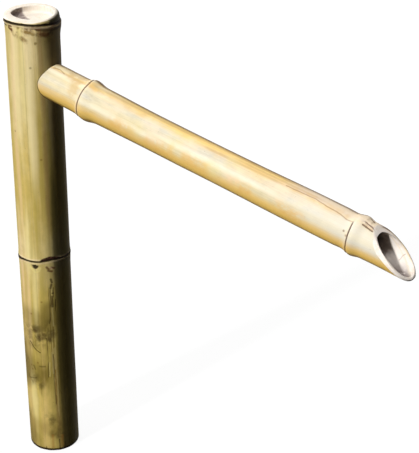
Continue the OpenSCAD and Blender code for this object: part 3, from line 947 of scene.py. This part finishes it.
POST_MARKS = [
    ([[(-128, 165), (-122, 112)], [(-132, 45), (-124, 5)], [(-42, 236), (-48, 214)], [(170, 140),
      (176, 90)]], 5, 15, 0.6, (108, 92, 38)),
    ([[(-104, 222), (-60, 218)], [(-96, 134), (-70, 130)], [(-108, 20), (-100, 4)]], 4, 18, 0.4,
      (110, 94, 42)),
    ([[(-104, 42), (-48, 38)]], 3, 16, 0.45, (150, 126, 62)),
    ([[(-38, 647), (-8, 643.6), (24, 641.5)]], 1.6, 2.4, 0.85, (50, 30, 18)),
    # Painted shade under the rim and down the side away from the key lamp
    ([[(4, 652), (30, 650), (70, 648)]], 5, 6, 0.9, (26, 22, 16)),
    ([[(4, 640), (4, 575)]], 5, 9, 0.4, (26, 22, 16)),
    ([[(-36, 271), (-36, 255)], [(-36.4, 242), (-36.4, 209)], [(-42, 167), (-42.1, 132)], [(-36.5, 173),
      (-36.8, 139)], [(-49, 150), (-50, 128)]], 0.4, 1.2, 0.5, (206, 188, 122)),
    ([[(-79, 200)], [(-72, 191)], [(-66, 189)], [(-46, 187)], [(-58, 196)]], 0.8, 4, 0.6, (76, 58, 30)),
    ([[(-96.4, 180.2), (-87.5, 173.8), (-79.5, 168.5), (-70, 165.5)], [(140, 512), (128, 498), (121, 494)]],
      0.3, 1, 0.8, CRACK),
    ([[(-73, 142.5), (-60, 143.5)], [(-84, 122), (-104, 117.5)], [(-90, 141), (-86, 136)]], 0.2, 2, 0.5,
      CRACK),
    ([[(-44, 303), (-40, 299)], [(-35, 301.5), (-28, 300)], [(-41, 297), (-33, 295.5)]], 0.7, 1.8, 0.8,
      (96, 56, 32)),
    ([[(-37, 302.5), (-33, 299)]], 0.4, 1.2, 0.6, (226, 190, 150)),
    ([[(-37, 283), (-34.5, 278)], [(-36, 275), (-38.5, 269)], [(-34, 261)], [(-36, 256), (-36, 240)]], 0.6,
      1.8, 0.75, CRACK),
    ([[(-55, 594)], [(-43, 464)], [(-60, 248)], [(-77.6, 148)], [(-94, 134.7)], [(-97, 140.6)], [(85, 380)],
      [(120, 150)], [(-88, 226)], [(-104, 500)]], 0.4, 2, 0.5, BROWN),
    ([[(-80, 301), (-76, 297), (-69.5, 294.8), (-62, 297.6), (-59, 301.5)]], 0.8, 2.2, 0.6,
      (240, 222, 144)),
    ([[(-103, 647.2), (-96, 647.8)], [(-103.6, 646.5), (-103.6, 644.2), (-94, 642.8)], [(-47, 648.6),
      (-32, 646.7)]], 0.8, 1.6, 0.9, (92, 52, 24)),
    ([[(-61, 643), (-51, 642.1), (-45.6, 640)], [(-77, 648)], [(-42, 627.5)], [(75, 643), (88, 641)],
      [(150, 642), (168, 640)]], 0.8, 2.2, 0.7, (136, 108, 46)),
    ([[(-51.3, 27), (-52.2, 6)], [(-29, 25), (-30, 8)]], 0.5, 2.4, 0.4, (166, 110, 44)),
    ([[(-36, 18.5), (-35.6, 2)], [(-22, 12), (-24, 2)], [(-68, 6), (-67, 1)], [(96, 14), (95, 1)]], 0.3,
      1.2, 0.7, CRACK),
]


def post_bamboo():
    """Skin of the post: straw to olive, smoked and scratched low down, bleached towards its top, with painted
    shade on the side away from the key lamp.
    """
    culm = Culm("post_bamboo", POST_R, Matrix.Identity(4), shine=0.04)
    skin = culm.group(SKIN_GROUP, {
        "Vector": culm.mm, "Paleness": culm.tones(culm.along, POST_H, POST_TONES), "Streaky": 0.7,
        "Pale": (238, 217, 156), "Straw": (214, 188, 106), "Deep": (132, 112, 46), "Olive": (196, 174, 88),
        "Tan": (232, 198, 138)})
    # Painted shade: the skin darker on the side away from the key lamp
    degrees = culm.times(culm.around, 180 / math.pi / POST_R, 180)
    sides = culm.tones(degrees, 360, [(a + 180, tone) for a, tone in POST_SIDE_SHADE])
    color = culm.mix(1.0, skin["Color"], sides, "MULTIPLY")
    color = culm.draw(color, POST_STREAKS, POST_STAINS, POST_MARKS)
    cracks = culm.marks(POST_CRACKS, half_width=0.25, edge=0.8)
    # Cracks fade and come back along the grain
    broken = culm.patches(culm.mm, (20, 20, 26), 2, 0.6, 0.38, 0.52)
    color = culm.tint(color, culm.times(cracks, broken), 0.6, CRACK)
    # Brown scars of the leaf sheath, scattered in the band under the top node's line
    band = culm.times(culm.fade(culm.along, 634, 645), culm.fade(culm.along, 653, 648))
    scars = culm.patches(culm.mm, (7, 7, 4), 3, 0.65, 0.53, 0.66)
    color = culm.tint(color, culm.times(band, scars), 0.6, BROWN)
    torn = culm.mix(culm.patches(culm.mm, (4, 4, 3), 2, 0.6, 0.5, 0.62), (46, 28, 18), (112, 74, 58))
    color = culm.mix(culm.attribute("torn"), color, torn)
    color = culm.tint(color, culm.attribute("eye"), 0.95, LINE)
    # Dirt and painted contact shadow along the foot
    color = culm.tint(color, culm.fade(culm.along, 5.2, 3), 0.95, LINE)
    # Painted shade in the joint round the spout
    color = culm.tint(color, socket_joint_shade(culm), 0.7, CRACK)
    return culm.finish(skin, color, cracks, line=LINE, wood=(236, 227, 214), bundle=(208, 188, 158),
                       lining=(222, 200, 160), depth=(222, 200, 160))


def socket_joint_shade(culm):
    """Painted shade in the joint round the spout, from the distance to the spout's axis."""
    from_foot = culm.vector("SUBTRACT", culm.mm, tuple(SPOUT_FOOT / MM))
    away = culm.vector("LENGTH", culm.vector("CROSS_PRODUCT", from_foot, tuple(SPOUT_AXIS)))
    front = culm.fade(culm.vector("DOT_PRODUCT", from_foot, tuple(SPOUT_AXIS)), 8, 14)
    return culm.times(culm.fade(away, SOCKET_R + 1.1, SOCKET_R + 0.2), front)


# How bleached the spout is, as (place along, share)
SPOUT_TONES = [(0, 0.5), (90, 0.5), (300, 0.5), (430, 0.46), (500, 0.38), (577, 0.34)]
# Border of the silvery strip, as (degrees from the top, place along) points
STRIP_BORDER = [(15.5, 396), (14, 420), (12, 437), (18, 455), (19, 468), (23.5, 479), (27, 485), (26, 492)]
# Marks on the spout's skin, in tables like the post's, with points of (degrees from the top, place along)
SPOUT_STREAKS = [
    ([[(16, 130), (11, 170)], [(9, 190), (6, 300)], [(13, 240), (11, 340)], [(24, 130), (21, 200)]], 0.5, 6,
      0.3, (246, 202, 118)),
    ([[(3, 130), (1, 230)], [(20, 300), (17, 380)], [(-8, 330), (-10, 400)], [(8, 350), (5, 420)]], 0.4, 3,
      0.45, (180, 142, 90)),
    ([[(16.7, 50), (16.6, 69), (18.9, 84)]], 0.4, 2, 0.5, (176, 124, 66)),
    ([[(3, 50), (-6, 80)], [(24, 50), (27, 80)], [(70, 120), (74, 180)], [(60, 260), (58, 330)]], 1, 5, 0.5,
      (244, 236, 212)),
    ([[(130, -30), (132, 575)]], 4, 19, 0.7, (230, 184, 74)),
    ([[(100, 150), (102, 240)], [(96, 320), (99, 400)], [(92, 60), (94, 84)], [(98, 450), (104, 520)]], 1,
      8, 0.4, (244, 198, 100)),
]
SPOUT_STAINS = [
    ([[(8, 76), (60, 80)], [(-10, 60), (0, 84)]], 3, 9, 0.6, (206, 172, 112)),
    ([[(14, 62), (12, 180)], [(12, 410), (16, 480)]], 2, 7, 0.5, (214, 178, 120)),
    ([[(84, 150), (88, 175)], [(92, 205), (88, 235)], [(80, 262), (86, 290)], [(90, 330), (84, 352)],
      [(88, 400), (92, 430)]], 3, 10, 0.6, (226, 178, 92)),
    ([[(40, 140)], [(58, 210)], [(36, 262)], [(62, 330)], [(44, 392)], [(30, 200)]], 5, 14, 0.5,
      (238, 214, 184)),
    ([[(70, 180)], [(50, 240)], [(74, 300)], [(26, 320)]], 4, 14, 0.4, (222, 206, 140)),
]
SPOUT_MARKS = [
    ([[(5, 95), (-13, 104)], [(14, 96), (20, 106)]], 1, 3.5, 0.4, (246, 200, 116)),
    ([[(14.3, 34.8), (8.9, 45.7), (15.5, 53.7)], [(10.5, 36), (7, 44)]], 0.2, 0.8, 0.6, (150, 104, 62)),
    # Painted shade: a dark band along the upper back edge, away from the key lamp
    ([[(-40, -30), (-40, 200), (-40, 380), (-38, 492)]], 6.4, 6, 0.9, (92, 60, 26)),
    # Painted shade: a darker line along the lower front edge, where the key lamp's light ends
    ([[(137, -30), (137, 300), (138, 545)]], 3, 5.5, 0.8, (122, 90, 34)),
    ([[(14, 508), (17, 518)]], 1.2, 1.2, 0.5, (210, 182, 152)),
    ([STRIP_BORDER], 0.25, 1, 0.6, (150, 104, 62)),
    ([[(60, 488)], [(69, 493)], [(-96, 300)]], 0.5, 1.6, 0.7, BROWN),
]
# Middle of the side facing the key lamp, 57 degrees from the top towards the front, painted paler as a
# highlight as well as sun-bleached
HIGHLIT_SIDE = (math.cos(math.radians(57)), math.sin(math.radians(57)), 0)


def spout_bamboo():
    """Skin of the spout: sun-bleached and painted paler as a highlight in front, with painted shade at the
    back of its top, golden underneath, and a silvery strip along the branch side.
    """
    culm = Culm("spout_bamboo", SPOUT_R, SPOUT_PLACE.inverted(), shine=0.22)
    xyz = culm.split(culm.mm)
    outwards = culm.vector("NORMALIZE", culm.vector("MULTIPLY", culm.mm, (1, 1, 0)))
    highlit_side_mask = culm.fade(culm.vector("DOT_PRODUCT", outwards, HIGHLIT_SIDE), 0.5, 1)
    # Painted highlight and sun bleaching: the skin paler on the side facing the key lamp
    bleached = culm.times(highlit_side_mask, 0.5, culm.tones(culm.along, TIP_S, SPOUT_TONES))
    skin = culm.group(SKIN_GROUP, {
        "Vector": culm.mm, "Paleness": bleached, "Streaky": 0.3, "Pale": (212, 204, 184),
        "Straw": (238, 207, 130), "Deep": (220, 176, 70), "Olive": (220, 200, 138), "Tan": (238, 206, 164)})
    # Painted shade at the back of the top, away from the key lamp
    back_shade = culm.times(culm.fade(culm.around, 1, -8), culm.fade(culm.along, 430, 370))
    color = culm.tint(skin["Color"], back_shade, 0.7, (150, 118, 70))
    # Painted highlight and sun bleaching: whiter towards the mouth on the side facing the key lamp
    white = culm.times(culm.fade(culm.along, 360, 500), highlit_side_mask)
    color = culm.tint(color, white, 0.6, (226, 220, 204))
    strip = culm.times(culm.fade(xyz["X"], 15, 20), culm.fade(culm.along, 380, 420))
    color = culm.tint(color, culm.times(strip, culm.fade(xyz["Y"], 8.5, 4.5)), 0.7, (222, 208, 194))
    color = culm.draw(color, SPOUT_STREAKS, SPOUT_STAINS, SPOUT_MARKS)
    slits = culm.marks(STUB_SLITS, half_width=0.5, edge=0.9)
    color = culm.tint(color, slits, 0.85, (98, 64, 42))
    # The depth colour is the painted shade deep inside the spout
    return culm.finish(skin, color, slits, line=(84, 50, 30), wood=(250, 240, 230), bundle=(228, 210, 188),
                       lining=(252, 244, 236), depth=(64, 46, 36),
                       inner_crack=culm.marks([MOUTH_CRACK], half_width=0.2, edge=0.8))


# Materials of the pieces inside

def moulding_group():
    """Fine unevenness of moulded rubber and plastic, and a little dust in it."""
    wiring, given = new_group("moulding", {"Vector": "Vector", "Color": "Color", "Dust": "Color"},
                              {"Color": "Color", "Roughness": "Float", "Height": "Float"})
    dust = wiring.noise(given["Vector"], (9, 9, 9), 3, 0.6)
    return wiring.give_out({
        "Color": wiring.tint(given["Color"], wiring.fade(dust, 0.5, 0.8), 0.3, given["Dust"]),
        "Roughness": wiring.times(dust, 0.3, 0.4),
        "Height": wiring.noise(given["Vector"], (0.5, 0.5, 0.5), 2, 0.6)})


def moulded(name, group, color, dust):
    material, wiring, shader = new_material(name)
    made = wiring.group(group, {"Vector": wiring.object_mm(), "Color": color, "Dust": dust})
    wiring.feed(shader, {"Base Color": made["Color"], "Roughness": made["Roughness"],
                         "Normal": wiring.uneven(made["Height"], 0.3, 0.1)})
    return material


def clear_vinyl():
    """Milky hose: light passes, with a faint haze along it."""
    material, wiring, shader = new_material("clear_vinyl", {"Transmission Weight": 0.65, "IOR": 1.5})
    haze = wiring.noise(wiring.object_mm(), (4, 4, 14), 3, 0.6)
    wiring.feed(shader, {"Base Color": wiring.mix(haze, (222, 228, 224), (198, 204, 190)),
                         "Roughness": wiring.times(haze, 0.3, 0.12)})
    return material


def spring_steel():
    """Bright strip, brushed along the band and darker where it was handled."""
    material, wiring, shader = new_material("spring_steel", {"Metallic": 1.0})
    place = wiring.object_mm()
    handled = wiring.patches(place, (3, 3, 3), 3, 0.6, 0.4, 0.75)
    brushed = wiring.noise(place, (6, 6, 0.15), 2, 0.6)
    wiring.feed(shader, {"Base Color": wiring.mix(handled, (200, 200, 202), (150, 146, 140)),
                         "Roughness": wiring.times(brushed, 0.25, 0.2)})
    return material


def dress_inner_pieces():
    group = moulding_group()
    dresses = [
        (moulded("black_rubber", group, (38, 37, 36), (92, 86, 76)), ["socket_ring", "node_grommet"]),
        (moulded("black_plastic", group, (30, 31, 33), (84, 82, 76)), ["hose_elbow", "inlet_joiner"]),
        (clear_vinyl(), ["riser_hose", "spout_hose"]),
        (spring_steel(), ["riser_clip", "spout_clip", "inlet_clip"]),
    ]
    for material, names in dresses:
        for name in names:
            wear(frame["nodes"][name].data, material)


# Studio

# Lamps: name, azimuth and height that the light comes from in degrees, level, and softness in degrees
LAMPS = [
    ("key", -100, 37, 0.99, 5),
    ("low_fill", -106, 2, 0.22, 20),
    ("back_fill", 150, 30, 0.4, 20),
    ("top_fill", 0, 90, 0.4, 20),
]
AMBIENT = 0.008
# Half the floor's side in metres, its gap under the object in millimetres, and its glow
FLOOR_HALF = 6
FLOOR_GAP = 0.3
FLOOR_GLOW = 0.92

# The camera, as the photograph's outlines give it, with its turns in degrees
LENS = 140.33
CAMERA_AT = (1.4017, -1.5574, 1.4979)
CAMERA_AZIMUTH = 35.826
CAMERA_PITCH = 28.955
CAMERA_ROLL = 0.218


def sun(name, azimuth, elevation, level, soft):
    """A broad soft lamp; level is how bright a white surface facing it gets."""
    lamp = bpy.data.lights.new(name, "SUN")
    lamp.energy = level * math.pi
    lamp.angle = math.radians(soft)
    holder = put_in_scene(bpy.data.objects.new(name, lamp))
    holder.rotation_euler = (math.radians(90 - elevation), 0, math.radians(90 + azimuth))


def seen_directly(wiring):
    """1 for what the camera sees, straight or mirrored in metal or through glass."""
    path = wiring.add("LightPath").outputs
    mirrored = wiring.math("MAXIMUM", path["Is Glossy Ray"], path["Is Transmission Ray"])
    return wiring.math("MAXIMUM", path["Is Camera Ray"], mirrored)


def backdrop():
    world = bpy.data.worlds.new("studio")
    bpy.context.scene.world = world
    wiring = fresh_wiring(world)
    dim = wiring.first("Background", {"Color": (1, 1, 1, 1), "Strength": AMBIENT})
    white = wiring.first("Background", {"Color": (1, 1, 1, 1), "Strength": 1.0})
    both = wiring.first("MixShader", {0: seen_directly(wiring), 1: dim, 2: white})
    wiring.add("OutputWorld", {"Surface": both})


def floor():
    """A pale floor, white in the light, that keeps the object's soft shadow and is clear from below."""
    bm = bmesh.new()
    bmesh.ops.create_grid(bm, x_segments=1, y_segments=1, size=FLOOR_HALF)
    bmesh.ops.translate(bm, verts=bm.verts, vec=(0, 0, -FLOOR_GAP * MM))
    ground = as_object("floor", bm)
    material = bpy.data.materials.new("pale_floor")
    wiring = fresh_wiring(material)
    matt = wiring.first("BsdfDiffuse", {"Color": (0.1, 0.1, 0.1, 1)})
    glow = wiring.first("Emission", {"Color": (1, 1, 1, 1), "Strength": FLOOR_GLOW})
    pale = wiring.first("AddShader", {0: matt, 1: glow})
    dark = wiring.first("BsdfDiffuse", {"Color": (0.02, 0.019, 0.017, 1)})
    both = wiring.first("MixShader", {0: seen_directly(wiring), 1: dark, 2: pale})
    from_below = wiring.add("NewGeometry").outputs["Backfacing"]
    whole = wiring.first("MixShader", {0: from_below, 1: both, 2: wiring.first("BsdfTransparent")})
    wiring.add("OutputMaterial", {"Surface": whole})
    wear(ground.data, material)


def camera():
    lens = bpy.data.cameras.new("photo_view")
    lens.lens = LENS
    lens.sensor_width = 36
    lens.clip_start = 0.05
    lens.clip_end = 50
    holder = put_in_scene(bpy.data.objects.new("photo_view", lens))
    turn = (Matrix.Rotation(math.radians(CAMERA_AZIMUTH), 4, "Z")
            @ Matrix.Rotation(math.radians(90 - CAMERA_PITCH), 4, "X")
            @ Matrix.Rotation(math.radians(-CAMERA_ROLL), 4, "Z"))
    holder.matrix_world = Matrix.Translation(CAMERA_AT) @ turn
    bpy.context.scene.camera = holder


camera()
make_post()
make_spout()
dress_inner_pieces()
for lamp in LAMPS:
    sun(*lamp)
backdrop()
floor()
bpy.context.scene.view_settings.view_transform = "Standard"
